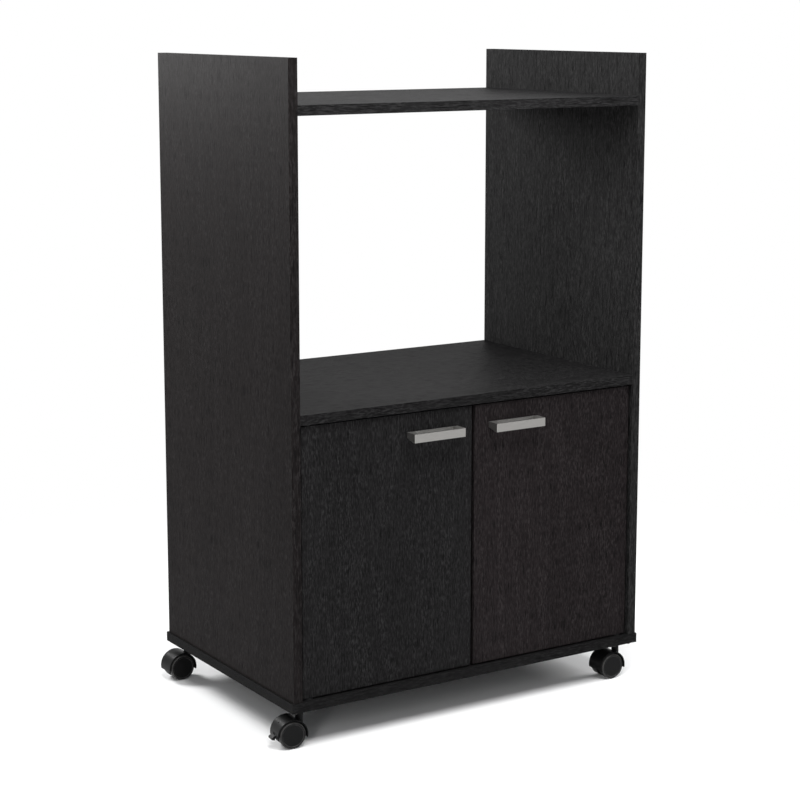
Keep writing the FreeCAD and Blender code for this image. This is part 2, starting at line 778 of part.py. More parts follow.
def strike_screw(name, side):
    """A countersunk screw, flush with the strike plate."""
    body = door_node(name, side)
    face = "(-1 * door_thickness - strike_thickness)"
    middle = [strike_middle(side)]
    studs(body, "XZ_Plane", face, middle, "small_screw_diameter", "small_screw_length")


def stem_node(name, corner, level):
    """A body of a caster's fixed pieces, with its origin on the swivel's axis."""
    side, stem_y, _ = corner
    return node(name, f"{side} * {STEM_X}", f"{FRONT} + {stem_y}", level)


def caster_node(name, corner):
    """A body of a caster's swivelling pieces, with its origin at the middle of the axle and its
    own X towards the swivel's axis."""
    side, stem_y, swivel = corner
    along = f"({math.cos(math.radians(swivel)):.9f} * caster_trail)"
    aside = f"({math.sin(math.radians(swivel)):.9f} * caster_trail)"
    x = f"{side} * {STEM_X} - {along}"
    return node(name, x, f"{FRONT} + {stem_y} - {aside}", AXLE_HEIGHT, swivel)


def caster_plate(name, corner):
    """The mounting plate under the base board."""
    body = stem_node(name, corner, "caster_height - plate_thickness")
    plate = sketch(body, "XY_Plane")
    half = "(plate_side / 2)"
    rectangle(plate, minus(half), minus(half), half, half)
    pad(body, plate, "plate_thickness")
    rounded(body, "plate_corner_round", is_upright)
    bores(body, "XY_Plane", "0", plate_holes(), "plate_screw_diameter", "plate_thickness", True)
    bores(body, "XY_Plane", "0", [("0", "0")], "kingpin_diameter", "plate_thickness", True)


def caster_kingpin(name, corner):
    """The steel pin riveted into the plate, which the hood turns on."""
    body = stem_node(name, corner, "caster_height")
    length = "(plate_thickness + kingpin_length)"
    studs(body, "XY_Plane", "0", [("0", "0")], "kingpin_diameter", length, True)


def caster_hood(name, corner, braked):
    """The moulded housing: a shell over both wheels, a web between them and a swivel column."""
    body = caster_node(name, corner)
    axle = [("0", "0")]
    column = [("caster_trail", "0")]
    drum = sketch(body, "XZ_Plane")
    circle(drum, "0", "0", f"(2 * {HOOD_RADIUS})")
    pad(body, drum, f"(2 * {WHEEL_OUT})", middle=True)
    studs(body, "XY_Plane", "0", column, "column_diameter", COLUMN_TOP)
    well_depth = f"({WHEEL_OUT} - hood_web / 2)"
    for level, inward in ((WHEEL_OUT, False), (minus(WHEEL_OUT), True)):
        bores(body, "XZ_Plane", level, axle, f"(2 * {WELL_RADIUS})", well_depth, inward)
    mouth = sketch(body, "XZ_Plane")
    reach = f"(2 * {HOOD_RADIUS})"
    rectangle(mouth, minus(reach), minus(reach), reach, minus("hood_skirt"))
    pocket(body, mouth, f"(4 * {WHEEL_OUT})", middle=True)
    boss = sketch(body, "XZ_Plane")
    circle(boss, "0", "0", "axle_boss_diameter")
    pad(body, boss, "hood_web", middle=True)
    round_outer_rims(body)
    if braked:
        dimple(body)
        lever_slot(body)
    pin = "(kingpin_diameter + 2 * pivot_clearance)"
    bores(body, "XY_Plane", COLUMN_TOP, column, pin, "(kingpin_length + pivot_clearance)")
    bores(body, "XZ_Plane", "(hood_web / 2)", axle, "axle_diameter", "hood_web")


def round_outer_rims(body):
    """Rounds the hood's two outermost rims."""
    doc.recompute()
    outermost = max(edge.Curve.Radius for edge in body.Tip.Shape.Edges if is_round(edge))
    rounded(
        body, "hood_edge_round",
        lambda edge: is_round(edge) and edge.Curve.Radius > outermost - TOUCHING,
    )


def dimple(body):
    """A small round recess in the back of the hood, above the lever."""
    lean = math.radians(DIMPLE_LEAN_DEGREES)
    drawing = sketch(body, "XY_Plane")
    tilt = FreeCAD.Rotation(FreeCAD.Vector(0, 1, 0), -DIMPLE_LEAN_DEGREES)
    drawing.AttachmentOffset = FreeCAD.Placement(FreeCAD.Vector(), tilt)
    for axis, share in (("x", -math.sin(lean)), ("z", math.cos(lean))):
        drawing.setExpression(f"AttachmentOffset.Base.{axis}", cells(f"{share:.9f} * {HOOD_RADIUS}"))
    circle(drawing, "0", "0", "hood_dimple_diameter")
    pocket(body, drawing, "hood_dimple_depth")


def lever_slot(body):
    """Opens the hood's web for the brake lever and bores its pin's hole."""
    slot = sketch(body, "XZ_Plane")
    outer = f"(-2 * {HOOD_RADIUS})"
    inner = "(-1 * axle_boss_diameter / 2 - lever_clearance)"
    top = "(lever_eye_diameter / 2 + 2 * lever_clearance)"
    rectangle(slot, outer, outer, inner, top)
    pocket(body, slot, "(lever_thickness + 2 * lever_clearance)", middle=True)
    pin = [(minus(LEVER_PIVOT), "0")]
    bores(body, "XZ_Plane", "(hood_web / 2)", pin, "lever_pivot_diameter", "hood_web")


def caster_axle(name, corner):
    body = caster_node(name, corner)
    bar = sketch(body, "XZ_Plane")
    circle(bar, "0", "0", "axle_diameter")
    pad(body, bar, f"(2 * ({WHEEL_FLOOR} - axle_end_gap))", middle=True)


def caster_wheel(name, corner, side):
    """A hollow wheel, open towards the web, with a raised ring round its outer face."""
    body = caster_node(name, corner)
    bore = "(axle_diameter / 2 + pivot_clearance)"
    hub = "(wheel_hub_diameter / 2)"
    tread = "(wheel_diameter / 2)"
    tread_inside = f"({tread} - wheel_tread_thickness)"
    inner_edge = f"({tread} - wheel_inner_chamfer)"
    outer_edge = f"({tread} - wheel_outer_chamfer)"
    ring = f"({outer_edge} - wheel_rim_width)"
    face = f"({WHEEL_OUT} - wheel_rim_proud)"
    profile = sketch(body, "XY_Plane")
    corners = [
        ("0", WHEEL_FLOOR),
        (bore, WHEEL_FLOOR),
        (bore, WHEEL_IN),
        (hub, WHEEL_IN),
        (hub, WHEEL_FLOOR),
        (tread_inside, WHEEL_FLOOR),
        (tread_inside, WHEEL_IN),
        (inner_edge, WHEEL_IN),
        (tread, f"({WHEEL_IN} + wheel_inner_chamfer)"),
        (tread, f"({WHEEL_OUT} - wheel_outer_chamfer)"),
        (outer_edge, WHEEL_OUT),
        (ring, WHEEL_OUT),
        (f"({ring} - wheel_rim_proud)", face),
        ("0", face),
    ]
    outline(profile, [(x, f"({side} * {y})") for x, y in corners])
    turned = profiled(body, "Revolution", profile)
    turned.ReferenceAxis = (profile, ["V_Axis"])
    turned.Angle = 360


def brake_lever(name, corner):
    """A foot lever on a pin in the web. Its tab stands out behind the hood."""
    body = caster_node(name, corner)
    pivot = minus(LEVER_PIVOT)
    eye = sketch(body, "XZ_Plane")
    circle(eye, pivot, "0", "lever_eye_diameter")
    pad(body, eye, "lever_thickness", middle=True)
    third = "lever_eye_diameter / 3"
    arm_end = f"(-1 * {TAB_START} - lever_tab_length / 4)"
    arm = sketch(body, "XZ_Plane")
    outline(arm, [
        (f"({pivot} + {third})", "(-1 * lever_eye_diameter / 4)"),
        (pivot, f"({third})"),
        (f"({pivot} - {third})", "(lever_eye_diameter / 4)"),
        (arm_end, "(lever_tab_rise - lever_tab_fall / 2)"),
        (arm_end, "(lever_tab_rise - lever_tab_root * 3 / 4)"),
    ])
    pad(body, arm, "lever_thickness", middle=True)
    tab_end = f"(-1 * {TAB_START} - lever_tab_length)"
    tab = sketch(body, "XZ_Plane")
    outline(tab, [
        (minus(TAB_START), "lever_tab_rise"),
        (tab_end, "(lever_tab_rise - lever_tab_fall)"),
        (tab_end, "(lever_tab_rise - lever_tab_fall - lever_tab_thickness)"),
        (minus(TAB_START), "(lever_tab_rise - lever_tab_root)"),
    ])
    pad(body, tab, "lever_tab_width", middle=True)
    hole = "(lever_pivot_diameter + 2 * pivot_clearance)"
    bores(body, "XZ_Plane", "(lever_thickness / 2)", [(pivot, "0")], hole, "lever_thickness")


def brake_pin(name, corner):
    body = caster_node(name, corner)
    bar = sketch(body, "XZ_Plane")
    circle(bar, minus(LEVER_PIVOT), "0", "lever_pivot_diameter")
    pad(body, bar, "hood_web", middle=True)


def build_cabinet():
    side_panel("left_side_panel", -1)
    side_panel("right_side_panel", 1)
    base_board()
    middle_shelf()
    shelf_board("top_shelf", TOP_SHELF_UNDERSIDE)
    back_panel()
    cabinet_shelf()
    back_nails()
    cam_discs()
    cam_bolts()
    dowels()
    base_screws()
    shelf_pegs()
    pivot_bushes()
    catch_body()
    catch_pole_plates()
    catch_screws()
    caster_screws()


def build_doors():
    for word, side in (("left", -1), ("right", 1)):
        door(f"{word}_door", side)
        pivot_pins(f"{word}_pivot_pins", side)
        handle(f"{word}_handle", side)
        handle_screws(f"{word}_handle_screws", side)
        strike_plate(f"{word}_strike_plate", side)
        strike_screw(f"{word}_strike_screw", side)


def build_casters():
    for word, (side, stem_y) in CORNERS.items():
        corner = (side, stem_y, SWIVEL_DEGREES[word])
        braked = word in BRAKED
        caster_plate(f"{word}_caster_plate", corner)
        caster_kingpin(f"{word}_caster_kingpin", corner)
        caster_hood(f"{word}_caster_hood", corner, braked)
        caster_axle(f"{word}_caster_axle", corner)
        caster_wheel(f"{word}_caster_wheel_a", corner, -1)
        caster_wheel(f"{word}_caster_wheel_b", corner, 1)
        if braked:
            brake_lever(f"{word}_brake_lever", corner)
            brake_pin(f"{word}_brake_pin", corner)


def check_and_write():
    """Stops on any failed object or open solid, then writes one file for each sub-part."""
    doc.recompute()
    for item in doc.Objects:
        if "Invalid" in item.State or "Error" in item.State:
            raise RuntimeError(f"{item.Label} failed: {item.State}")
    for body in parts:
        if body.Shape.isNull() or not body.Shape.isValid() or not body.Shape.Solids:
            raise RuntimeError(f"{body.Label} has no valid solid")
    os.makedirs("parts", exist_ok=True)
    for body in parts:
        body.Shape.exportStep(f"parts/{body.Label}.step")
        print(f"{body.Label}: {len(body.Shape.Solids)} solids, {body.Shape.Volume:.0f} mm3")


build_cabinet()
build_doors()
build_casters()
check_and_write()
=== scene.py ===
import json
import math
from collections import namedtuple

import bmesh
import bpy
from mathutils import Euler, Matrix, Vector


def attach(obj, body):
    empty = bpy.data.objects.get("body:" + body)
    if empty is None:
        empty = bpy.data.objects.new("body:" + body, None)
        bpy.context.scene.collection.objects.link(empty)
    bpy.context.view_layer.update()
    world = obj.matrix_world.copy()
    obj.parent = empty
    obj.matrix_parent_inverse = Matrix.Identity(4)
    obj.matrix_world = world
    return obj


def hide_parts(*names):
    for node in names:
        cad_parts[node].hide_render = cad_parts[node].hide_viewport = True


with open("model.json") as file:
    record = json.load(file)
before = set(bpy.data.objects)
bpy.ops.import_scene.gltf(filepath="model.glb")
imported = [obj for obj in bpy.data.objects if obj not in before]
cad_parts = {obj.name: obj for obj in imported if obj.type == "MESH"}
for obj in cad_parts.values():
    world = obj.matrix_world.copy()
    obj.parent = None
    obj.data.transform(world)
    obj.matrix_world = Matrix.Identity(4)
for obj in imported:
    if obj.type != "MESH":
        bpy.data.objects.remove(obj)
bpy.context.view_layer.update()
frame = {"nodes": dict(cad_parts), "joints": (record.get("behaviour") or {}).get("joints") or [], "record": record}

# The material slot of each CAD node, and the nodes of each body
SLOTS = {part["node"]: part["material_slot"] for part in frame["record"]["subparts"]}
BODIES = frame["record"]["behaviour"]["bodies"]
X_AXIS, Z_AXIS = 0, 2
UP, DOWN, REARWARDS = Vector((0, 0, 1)), Vector((0, 0, -1)), Vector((0, 1, 0))

# Camera. Its place, turn and lens are fitted to the corners of the boards in the photograph.
FRAME_PIXELS = 800
FOCAL_PIXELS = 2003.05
SENSOR = 36.0
CAMERA_PLACE = (-1.59128, -2.49197, 1.00754)
CAMERA_YAW = 0.56621
CAMERA_PITCH = 0.16807
CAMERA_SHIFT = -0.06
CAMERA_NEAR = 0.05
CAMERA_FAR = 60

# Studio. The fill lights the object, and white is what the camera and reflections see of the
# world. The floor fades into the same white between two distances from the object's middle.
WHITE = (1, 1, 1)
WHITE_STRENGTH = 1.0
FILL_COLOUR = (0.96, 0.98, 1.0)
FILL_STRENGTH = 0.3
FLOOR_COLOUR = (0.92, 0.92, 0.92)
FLOOR_ROUGHNESS = 0.9
FLOOR_SPECULAR = 0.1
FLOOR_REACH = 30
FLOOR_LEVEL = -0.0004
FLOOR_FADE_START = 0.45
FLOOR_FADE_END = 1.25
Lamp = namedtuple("Lamp", "name place target width height watts")
LAMPS = (
    Lamp("overhead", (-0.1, -1.0, 2.1), (0, -0.1, 0.5), 1.8, 1.0, 50),
    Lamp("rear_left", (-0.85, 1.4, 1.25), (-0.3, 0.1, 0.85), 0.5, 0.6, 34),
    Lamp("front_left", (-2.1, -2.0, 0.95), (-0.2, 0, 0.4), 0.3, 1.5, 20),
    Lamp("right", (2.3, -0.2, 1.5), (0.3, 0, 0.45), 1.1, 1.2, 42),
)

# Laminate. A board's ground and the colour of its dashes differ a little from board to board.
# The right side panel's lighter colour is painted light, standing in for light on its inner face;
# the top shelf is lighter and the base board darker.
UPRIGHT_BOARDS = ("left_side_panel", "right_side_panel", "left_door", "right_door")
TONES = {
    "boards": ((0.0085, 0.0083, 0.0085), (0.0216, 0.0211, 0.0216)),
    "right_door": ((0.0107, 0.0086, 0.0090), (0.0250, 0.0214, 0.0220)),
    "left_side_panel": ((0.0092, 0.0078, 0.0077), (0.0211, 0.0190, 0.0192)),
    # painted light: the right side panel's lighter colour stands in for light on its inner face
    "right_side_panel": ((0.0116, 0.0114, 0.0116), (0.0290, 0.0285, 0.0285)),
    "top_shelf": ((0.0112, 0.0110, 0.0113), (0.0285, 0.0280, 0.0284)),
    "base_board": ((0.0062, 0.0060, 0.0062), (0.0158, 0.0155, 0.0157)),
}
PORE_COLOUR = (0.0030, 0.0029, 0.0030)
# The darkest ground, as a share of the ground
GROUND_SHADE = 0.72
# How often the rings repeat, and what is left of the dashes between two rings
RING_TURNS = 70.0
RING_LOW = 0.62
# How strongly the streaks and pores show over the dashes, and what pores and dashes do to the
# roughness and the height of the surface
STREAK_SHARE = 0.2
PORE_SHARE = 0.8
PORE_ROUGHNESS = 0.12
PORE_HEIGHT = -0.8
DASH_HEIGHT = 0.5
# How far the pattern moves on from one board to the next
PATTERN_STEP = (3.1, 1.7, 0.9)

# Metals and plastics. A shade is a share of the tint that it is mixed into. The tilts say how much
# a wheel's bevel gets its painted highlight, by the cosine between its surface's normal and the axle.
LINE_STRETCH = 60
LINE_SHADE = 0.8
CLOUD_SHADE = 0.9
PLATING = (0.014, 0.014, 0.016)
PLATING_BLOOM = (0.030, 0.026, 0.024)
MOULDED_SHADE = 1.5
WHEEL_NYLON = (0.0060, 0.0060, 0.0062)
# painted highlight: a pale colour on the wheels' bevels that stands in for light caught there
PAINTED_RIM_HIGHLIGHT = (0.070, 0.068, 0.067)
BEVEL_ROUGHNESS = 0.06
BEVEL_TILTS = ((0.50, 0.0), (0.64, 1.0), (0.78, 1.0), (0.90, 0.0))
AXLE_ENDING = "_wheel_a_axle"

# Hardboard and beech
BOARD_DARK = (0.021, 0.0175, 0.0155)
BOARD_PALE = (0.042, 0.034, 0.028)
FIBRE_COLOUR = (0.011, 0.009, 0.008)
FIBRE_SHARE = 0.7
FLECK_COLOUR = (0.008, 0.0065, 0.006)
FLECK_SHARE = 0.6
SCREEN_LINES = 2600.0
SCREEN_HEIGHT = 0.25
BEECH_PALE = (0.66, 0.48, 0.29)
BEECH_DARK = (0.47, 0.31, 0.17)

# Screws with a recess, in shares of the shank's radius
TIP_RADIUS = 0.35
TIP_LENGTH = 1.6
FLUSH_CROSS_REACH = 0.72
FLUSH_CROSS_HALF = 0.16
FLUSH_CROSS_DEPTH = 0.6
# in shares of the head's radius, where HEAD_START tells the head's corners from the shank's
HEAD_START = 0.9
PAN_FLAT = 0.62
PAN_CROSS_REACH = 0.52
PAN_CROSS_HALF = 0.11
SOCKET_EDGE = 0.08
SOCKET_REACH = 0.46
# in shares of the head's height
PAN_RIM = 0.3
PAN_CROSS_DEPTH = 0.62
SOCKET_DEPTH = 0.8
# and a recess's floor as a share of its mouth
CROSS_TAPER = 0.6
SOCKET_TAPER = 0.94
SOCKET_SIDES = 6
ROUND_STEPS = 32
DOME_STEPS = 5
SCREW_TURN = 0.7
SHARP_DEGREES = 35
WELD = 1e-6
Screw = namedtuple("Screw", "length shank head height")

# A colour mix node's sockets, by number because its other sockets have the same names
MIX_FIRST = 6
MIX_SECOND = 7
MIX_RESULT = 2


def add_object(name, data):
    item = bpy.data.objects.new(name, data)
    bpy.context.scene.collection.objects.link(item)
    return item


class Nodes:
    """The node tree of a material or world, with short ways to add and link its nodes."""

    def __init__(self, owner):
        owner.use_nodes = True
        self.tree = owner.node_tree
        self.tree.nodes.clear()

    def feed(self, target, value):
        """Links a socket, or sets a plain number, vector or colour."""
        if isinstance(value, bpy.types.NodeSocket):
            self.tree.links.new(value, target)
        elif target.type == "RGBA":
            target.default_value = (*value, 1.0)
        else:
            target.default_value = value

    def feed_named(self, node, inputs):
        """Feeds a node's inputs by their names, which have _ for each space."""
        for name, value in inputs.items():
            self.feed(node.inputs[name.replace("_", " ")], value)

    def add(self, kind, **inputs):
        node = self.tree.nodes.new(kind)
        self.feed_named(node, inputs)
        return node

    def calculate(self, operation, first, second=0.0):
        node = self.add("ShaderNodeMath")
        node.operation = operation
        self.feed(node.inputs[0], first)
        self.feed(node.inputs[1], second)
        return node.outputs["Value"]

    def times(self, first, second):
        return self.calculate("MULTIPLY", first, second)

    def plus(self, first, second):
        return self.calculate("ADD", first, second)

    def sine(self, value):
        return self.calculate("SINE", value)

    def dot(self, vector, axis):
        node = self.add("ShaderNodeVectorMath")
        node.operation = "DOT_PRODUCT"
        self.feed(node.inputs[0], vector)
        self.feed(node.inputs[1], axis)
        return node.outputs["Value"]

    def mix(self, share, first, second):
        """The first colour, with that share of the second over it."""
        node = self.add("ShaderNodeMix")
        node.data_type = "RGBA"
        self.feed(node.inputs["Factor"], share)
        self.feed(node.inputs[MIX_FIRST], first)
        self.feed(node.inputs[MIX_SECOND], second)
        return node.outputs[MIX_RESULT]

    def mix_shaders(self, share, *shaders):
        node = self.add("ShaderNodeMixShader", Fac=share)
        for target, shader in zip(node.inputs[1:], shaders):
            self.feed(target, shader)
        return node.outputs["Shader"]

    def ramp(self, value, *stops):
        """Turns a value into one between the levels of stops, each of them a place and a level."""
        node = self.add("ShaderNodeValToRGB", Fac=value)
        elements = node.color_ramp.elements
        while len(elements) < len(stops):
            elements.new(0.5)  # any place, as all are set below
        for element, (place, level) in zip(elements, stops):
            element.position = place
            element.color = (level, level, level, 1)
        return node.outputs["Color"]

    def rise(self, value, start, end):
        """Turns a value into one that rises from 0 to 1 between start and end."""
        return self.ramp(value, (start, 0.0), (end, 1.0))

    def fall(self, value, start, end, top=1.0):
        """Turns a value into one that falls from top to 0 between start and end."""
        return self.ramp(value, (start, top), (end, 0.0))

    def levels(self, value, low, high):
        """Moves a value from the span 0..1 to the span low..high."""
        node = self.add("ShaderNodeMapRange", Value=value, To_Min=low, To_Max=high)
        return node.outputs["Result"]

    def white_rays(self):
        """A value of 1 for camera, glossy and transmission rays, which see white."""
        path = self.add("ShaderNodeLightPath")
        total = path.outputs["Is Camera Ray"]
        for name in ("Is Glossy Ray", "Is Transmission Ray"):
            total = self.calculate("MAXIMUM", total, path.outputs[name])
        return total


class Material(Nodes):
    """A material's nodes around one principled shader."""

    def __init__(self, name):
        self.material = bpy.data.materials.new(name)
        super().__init__(self.material)
        self.shader = self.add("ShaderNodeBsdfPrincipled")
        self.output = self.add("ShaderNodeOutputMaterial", Surface=self.shader.outputs["BSDF"])
        self.coordinates = self.add("ShaderNodeTexCoord")

    def noise(self, scale, detail, roughness, distortion=0.0, seat=(0, 0, 0)):
        """Noise over the object's own coordinates, stretched by scale, in cycles per metre."""
        mapping = self.add(
            "ShaderNodeMapping", Location=seat, Scale=scale,
            Vector=self.coordinates.outputs["Object"],
        )
        noise = self.add(
            "ShaderNodeTexNoise", Scale=1.0, Detail=detail, Roughness=roughness,
            Distortion=distortion, Vector=mapping.outputs["Vector"],
        )
        return noise.outputs["Fac"]

    def bump(self, height, depth, strength):
        node = self.add("ShaderNodeBump", Strength=strength, Distance=depth, Height=height)
        return node.outputs["Normal"]

    def finish(self, **inputs):
        """Feeds the shader and gives the material."""
        self.feed_named(self.shader, inputs)
        return self.material


def shaded(tint, share):
    return tuple(share * level for level in tint)


def even(scale):
    return (scale, scale, scale)


def stretched(across, along, axis):
    """Scales that stretch a texture along one axis."""
    scale = [across, across, across]
    scale[axis] = along
    return tuple(scale)


def laminate(name, axis, seat, ground, dash):
    """Dark wood-grain laminate whose grain runs along one axis, as fine pale dashes that follow
    the arches and stripes of a sawn board."""
    n = Material(name)

    def grain(across, along, detail, roughness, distortion):
        return n.noise(stretched(across, along, axis), detail, roughness, distortion, seat)

    broad = grain(across=6, along=0.8, detail=2, roughness=0.5, distortion=0.6)
    figure = grain(across=9, along=0.8, detail=3, roughness=0.5, distortion=0.9)
    short = grain(across=720, along=130, detail=2, roughness=0.55, distortion=0.3)
    long = grain(across=420, along=11, detail=3, roughness=0.6, distortion=0.2)
    thin = grain(across=900, along=42, detail=2, roughness=0.5, distortion=0.0)
    rings = n.levels(n.sine(n.times(figure, RING_TURNS)), low=RING_LOW, high=1.0)
    dashes = n.rise(short, start=0.48, end=0.58)
    streaks = n.rise(long, start=0.42, end=0.68)
    pores = n.fall(thin, start=0.38, end=0.45)
    plain = n.mix(n.rise(broad, start=0.34, end=0.66), shaded(ground, GROUND_SHADE), ground)
    dashed = n.mix(n.times(dashes, rings), plain, dash)
    streaked = n.mix(n.times(streaks, STREAK_SHARE), dashed, dash)
    height = n.plus(n.times(pores, PORE_HEIGHT), n.times(short, DASH_HEIGHT))
    return n.finish(
        Base_Color=n.mix(n.times(pores, PORE_SHARE), streaked, PORE_COLOUR),
        Roughness=n.plus(
            n.levels(short, low=0.46, high=0.58), n.times(pores, PORE_ROUGHNESS),
        ),
        Normal=n.bump(height, depth=0.00012, strength=0.5),
        Specular_IOR_Level=0.02,
    )


def satin_metal(name, tint, roughness, axis, lines):
    """Metal with fine lines from its finishing along one axis."""
    n = Material(name)
    brushed = n.noise(stretched(lines, lines / LINE_STRETCH, axis), detail=3, roughness=0.6)
    clouds = n.noise(even(60), detail=2, roughness=0.5)
    lined = n.mix(n.levels(brushed, low=0.15, high=0.55), tint, shaded(tint, LINE_SHADE))
    cloudy = n.levels(clouds, low=0.0, high=0.25)
    return n.finish(
        Base_Color=n.mix(cloudy, lined, shaded(tint, CLOUD_SHADE)),
        Metallic=1.0,
        Roughness=n.levels(brushed, low=roughness - 0.06, high=roughness + 0.08),
        Normal=n.bump(brushed, depth=0.00002, strength=0.4),
    )


def black_steel(name):
    """Black zinc plating, with a faint brown bloom."""
    n = Material(name)
    bloom = n.noise(even(70), detail=3, roughness=0.6)
    return n.finish(
        Base_Color=n.mix(n.levels(bloom, low=0.0, high=1.0), PLATING, PLATING_BLOOM),
        Metallic=0.6,
        Roughness=n.levels(bloom, low=0.38, high=0.52),
        Normal=n.bump(bloom, depth=0.00004, strength=0.3),
    )


def moulded(name, tint, roughness, specular):
    """Moulded plastic with a fine spark texture."""
    n = Material(name)
    spark = n.noise(even(1600), detail=2, roughness=0.6)
    clouds = n.noise(even(45), detail=3, roughness=0.55)
    cloudy = n.levels(clouds, low=0.0, high=0.5)
    dull = n.levels(clouds, low=roughness - 0.05, high=roughness + 0.07)
    return n.finish(
        Base_Color=n.mix(cloudy, tint, shaded(tint, MOULDED_SHADE)),
        Roughness=n.plus(dull, n.levels(spark, low=-0.04, high=0.04)),
        Normal=n.bump(spark, depth=0.00003, strength=0.5),
        Specular_IOR_Level=specular,
    )


def nylon_with_painted_rim_highlight(name, axle):
    """Black nylon with a painted highlight: paler on the bevel between a wheel's face and its tread."""
    n = Material(name)
    tilt = n.calculate("ABSOLUTE", n.dot(n.coordinates.outputs["Normal"], axle))
    bevel = n.ramp(tilt, *BEVEL_TILTS)
    highlight_breaks = n.levels(n.noise(even(320), detail=4, roughness=0.7), low=-0.1, high=1.1)
    spark = n.noise(even(1700), detail=2, roughness=0.6)
    dull = n.levels(spark, low=0.28, high=0.36)
    return n.finish(
        # painted highlight: the bevel is mixed towards a pale colour, broken up by noise
        Base_Color=n.mix(n.times(bevel, highlight_breaks), WHEEL_NYLON, PAINTED_RIM_HIGHLIGHT),
        Roughness=n.plus(dull, n.times(bevel, BEVEL_ROUGHNESS)),
        Normal=n.bump(spark, depth=0.00003, strength=0.5),
        Specular_IOR_Level=0.07,
    )


def hardboard(name):
    """Brown hardboard: matted fibres, darker flecks and the faint weave of the press's screen."""
    n = Material(name)
    fibre = n.noise(even(900), detail=5, roughness=0.7)
    mottle = n.noise(even(38), detail=4, roughness=0.6, distortion=0.8)
    specks = n.noise(stretched(260, 420, Z_AXIS), detail=2, roughness=0.5)
    weave = [
        n.sine(n.dot(n.coordinates.outputs["Object"], axis))
        for axis in ((SCREEN_LINES, 0, 0), (0, 0, SCREEN_LINES))
    ]
    screen = n.levels(n.times(*weave), low=0.0, high=1.0)
    mottled = n.mix(n.rise(mottle, start=0.3, end=0.7), BOARD_DARK, BOARD_PALE)
    matted = n.mix(n.fall(fibre, start=0.35, end=0.6, top=FIBRE_SHARE), mottled, FIBRE_COLOUR)
    flecks = n.times(n.rise(specks, start=0.60, end=0.70), FLECK_SHARE)
    height = n.plus(fibre, n.times(screen, SCREEN_HEIGHT))
    return n.finish(
        Base_Color=n.mix(flecks, matted, FLECK_COLOUR),
        Roughness=n.levels(fibre, low=0.6, high=0.8),
        Normal=n.bump(height, depth=0.00015, strength=0.7),
        Specular_IOR_Level=0.1,
    )


def beech(name):
    n = Material(name)
    grain = n.noise(stretched(420, 18, X_AXIS), detail=4, roughness=0.6, distortion=0.3)
    return n.finish(
        Base_Color=n.mix(n.levels(grain, low=0.0, high=1.0), BEECH_PALE, BEECH_DARK),
        Roughness=n.levels(grain, low=0.5, high=0.7),
        Normal=n.bump(grain, depth=0.00005, strength=0.5),
    )


# The slots that look alike on all their nodes, with what makes each material
COMMON_SLOTS = {
    "satin_nickel": (
        satin_metal, dict(tint=(0.325, 0.318, 0.307), roughness=0.46, axis=X_AXIS, lines=2400),
    ),
    "zinc_steel": (
        satin_metal, dict(tint=(0.40, 0.40, 0.41), roughness=0.42, axis=Z_AXIS, lines=900),
    ),
    "caster_housing": (
        moulded, dict(tint=(0.0056, 0.0056, 0.0058), roughness=0.30, specular=0.055),
    ),
    "dark_plastic": (moulded, dict(tint=(0.016, 0.016, 0.017), roughness=0.45, specular=0.25)),
    "black_nylon": (moulded, dict(tint=(0.012, 0.012, 0.0125), roughness=0.5, specular=0.15)),
    "black_steel": (black_steel, {}),
    "hardboard": (hardboard, {}),
    "beech": (beech, {}),
}


def solid_corners(piece):
    """The corners of each separate solid of a CAD node, one list for each."""
    mesh = bmesh.new()
    mesh.from_mesh(piece.data)
    bmesh.ops.remove_doubles(mesh, verts=mesh.verts, dist=WELD)
    solids = []
    seen = set()
    for start in mesh.verts:
        if start in seen:
            continue
        seen.add(start)
        corners, waiting = [], [start]
        while waiting:
            vertex = waiting.pop()
            corners.append(vertex.co.copy())
            for edge in vertex.link_edges:
                other = edge.other_vert(vertex)
                if other not in seen:
                    seen.add(other)
                    waiting.append(other)
        solids.append(corners)
    mesh.free()
    return solids


def measured_screw(corners, facing):
    """A CAD screw's tip, and its length, shank radius, head radius and head height."""
    lowest = Vector([min(corner[axis] for corner in corners) for axis in range(3)])
    highest = Vector([max(corner[axis] for corner in corners) for axis in range(3)])
    middle = (lowest + highest) / 2
    levels = [(corner - middle).dot(facing) for corner in corners]
    radii = [(corner - middle - level * facing).length for corner, level in zip(corners, levels)]
    tip, top, head = min(levels), max(levels), max(radii)
    shank = max(radius for radius, level in zip(radii, levels) if level < tip + WELD)
    under = min(level for radius, level in zip(radii, levels) if radius > HEAD_START * head)
    return middle + tip * facing, Screw(top - tip, shank, head, top - under)


def circle(radius, steps):
    turns = [2 * math.pi * step / steps for step in range(steps)]
    return [(radius * math.cos(turn), radius * math.sin(turn)) for turn in turns]


def cross(reach, half):
    """The twelve corners of a cross, from the reach and the half width of its arms."""
    quarter = ((reach, -half), (reach, half), (half, half))
    turns = ((1, 0), (0, 1), (-1, 0), (0, -1))
    return [(c * x - s * y, s * x + c * y) for c, s in turns for x, y in quarter]


def add_loop(mesh, outline, level):
    return [mesh.verts.new((x, y, level)) for x, y in outline]


def bridge(mesh, lower, upper):
    for index in range(len(lower)):
        mesh.faces.new((lower[index - 1], lower[index], upper[index], upper[index - 1]))


